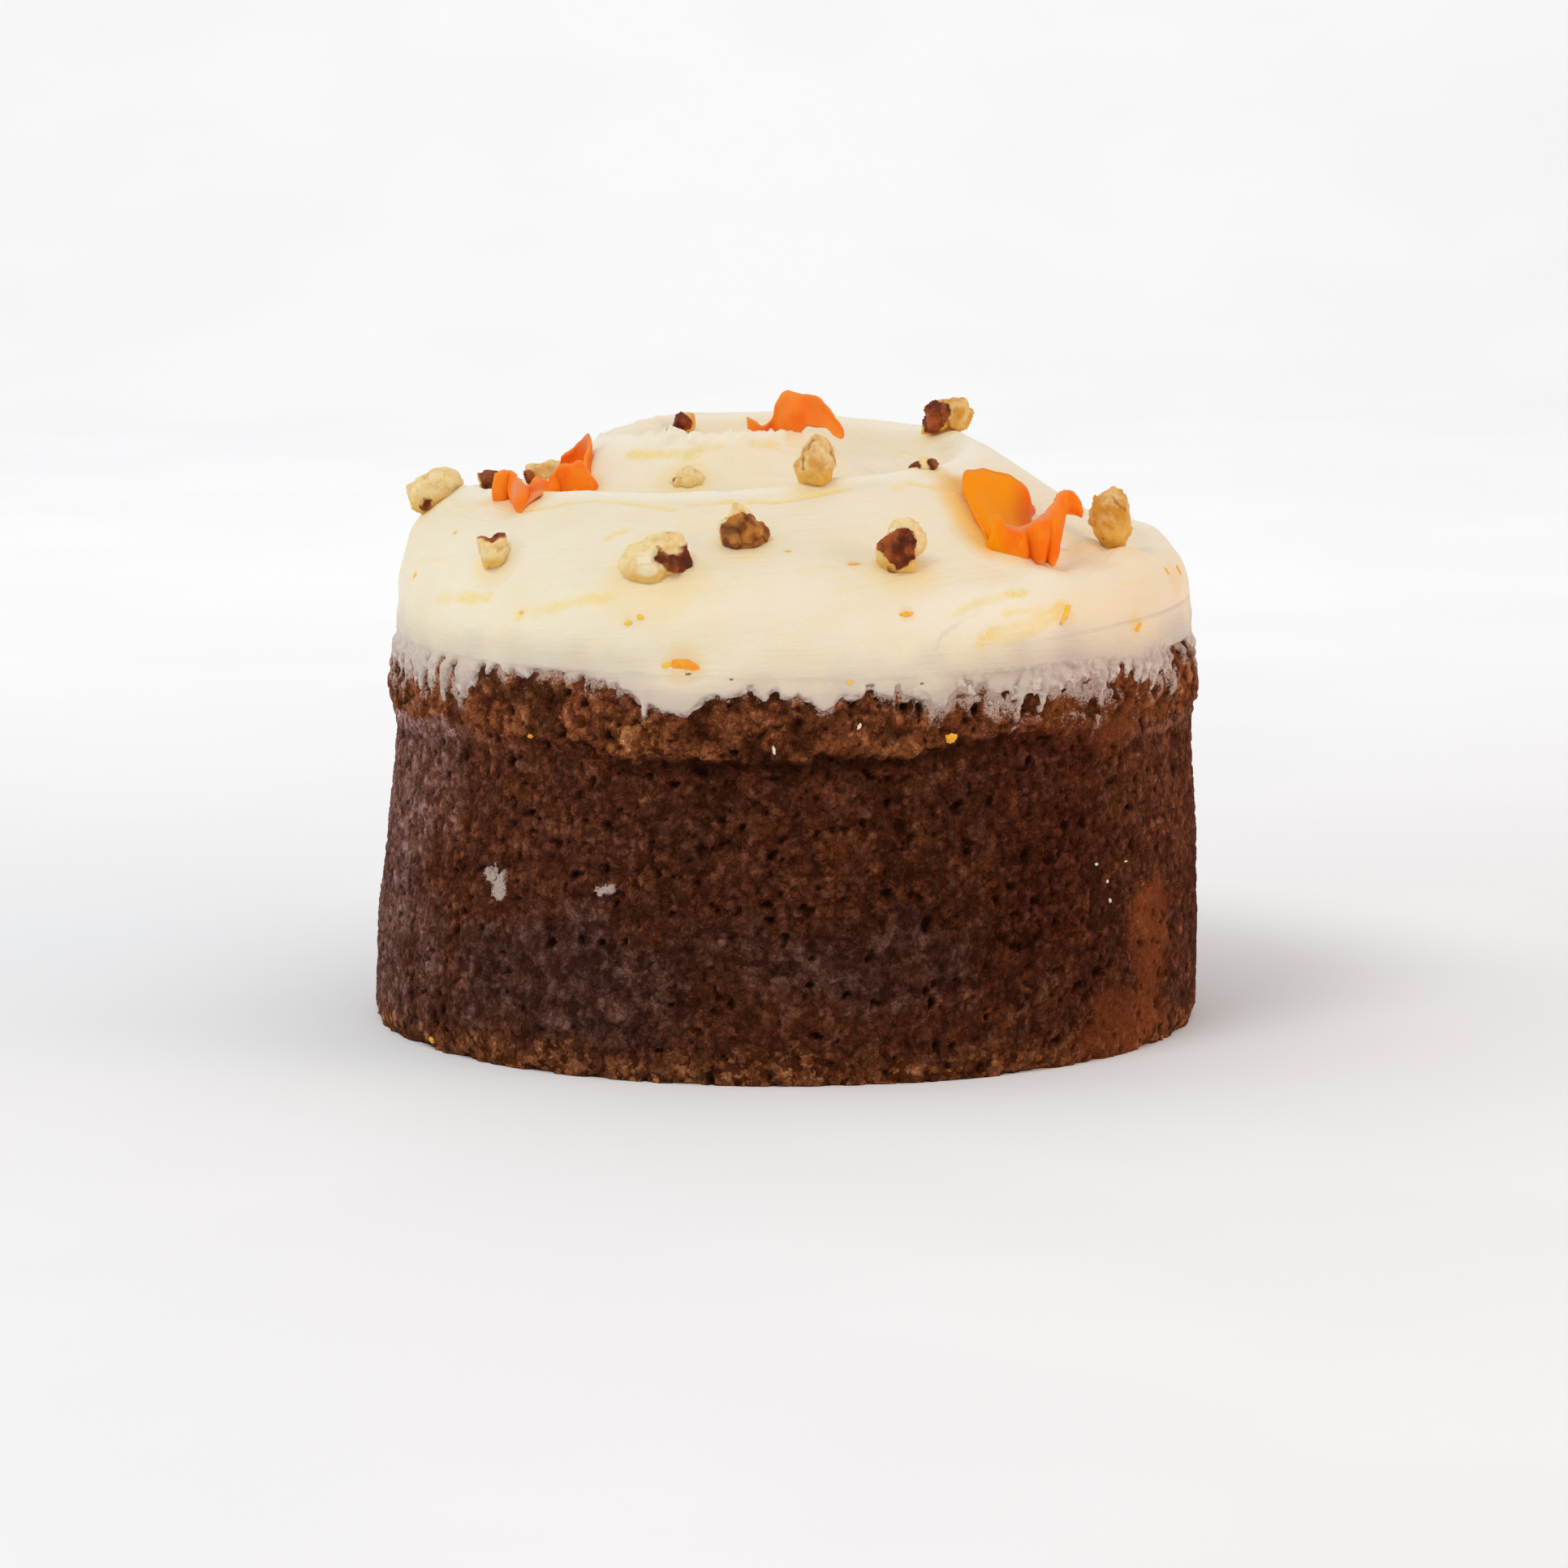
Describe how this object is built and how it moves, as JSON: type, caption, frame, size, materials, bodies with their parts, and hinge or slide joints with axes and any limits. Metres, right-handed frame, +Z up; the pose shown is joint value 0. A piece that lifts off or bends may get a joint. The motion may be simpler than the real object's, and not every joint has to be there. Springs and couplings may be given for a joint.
{
  "type": "carrot cake",
  "caption": "Tall round carrot cake, dark sponge with a torn pale crown, a thick swirl of cream cheese frosting over the top, walnut pieces and ruffled carrot ribbons pressed into it",
  "frame": {"origin": "Centre of the cake's bounding box in plan, at the flat base of the sponge", "axes": "+Z is up; the side seen in the reference view faces -Y and +X is to its right"},
  "size_m": [0.152, 0.152, 0.1147],
  "materials": {
    "sponge": "matte",
    "frosting": "satin",
    "walnut": "satin",
    "carrot": "satin"
  },
  "bodies": {
    "root": {"sponge": "sponge", "frosting": "frosting", "walnut_left_rim": "walnut", "walnut_left_hollow": "walnut", "walnut_behind_ribbon": "walnut", "walnut_front_left": "walnut", "walnut_front_broad": "walnut", "walnut_front_middle": "walnut", "walnut_behind_crest": "walnut", "walnut_top_left": "walnut", "walnut_upright": "walnut", "walnut_front_right": "walnut", "walnut_right_hollow": "walnut", "walnut_back_ridge": "walnut", "walnut_right_rim": "walnut", "walnut_back_left": "walnut", "walnut_back_middle": "walnut", "walnut_back_right": "walnut", "carrot_ribbon_left": "carrot", "carrot_ribbon_top": "carrot", "carrot_ribbon_right": "carrot", "carrot_ribbon_back": "carrot"}
  },
  "joints": []
}
